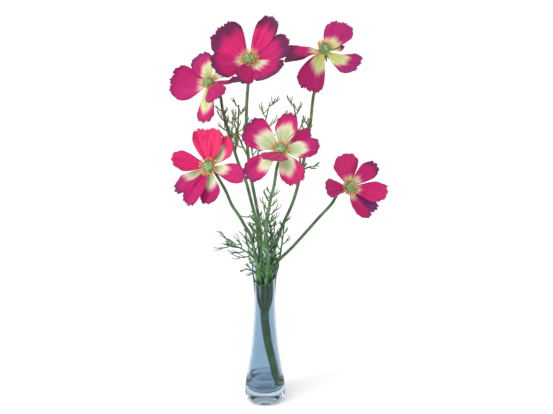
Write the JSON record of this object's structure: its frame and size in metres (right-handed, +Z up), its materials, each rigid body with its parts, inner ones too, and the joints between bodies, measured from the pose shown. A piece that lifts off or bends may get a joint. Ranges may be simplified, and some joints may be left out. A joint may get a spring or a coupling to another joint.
{
  "type": "cosmos flowers in a bud vase",
  "caption": "Spray of magenta cosmos blooms with toothed petals, slender stems and feathery leaves, standing in a clear glass bud vase with a slanted mouth.",
  "frame": {"origin": "centre of the vase's flat foot, on the surface it stands on", "axes": "+Z up along the vase to the highest bloom, +X to the viewer's right, and the blooms face the viewer along -Y"},
  "size_m": [0.2518, 0.1662, 0.464],
  "materials": {
    "glass": "clear, polished",
    "water": "clear, still",
    "green_stem": "satin",
    "magenta_petal": "soft matte with pale throats and dark tips",
    "green_disc": "granular"
  },
  "bodies": {
    "root": {"vase": "glass", "water": "water", "leafy_stems": "green_stem", "bloom_1_petals": "magenta_petal", "bloom_1_disc": "green_disc", "bloom_2_petals": "magenta_petal", "bloom_2_disc": "green_disc", "bloom_3_petals": "magenta_petal", "bloom_3_disc": "green_disc", "bloom_4_petals": "magenta_petal", "bloom_4_disc": "green_disc", "bloom_5_petals": "magenta_petal", "bloom_5_disc": "green_disc", "bloom_6_petals": "magenta_petal", "bloom_6_disc": "green_disc"}
  },
  "joints": []
}
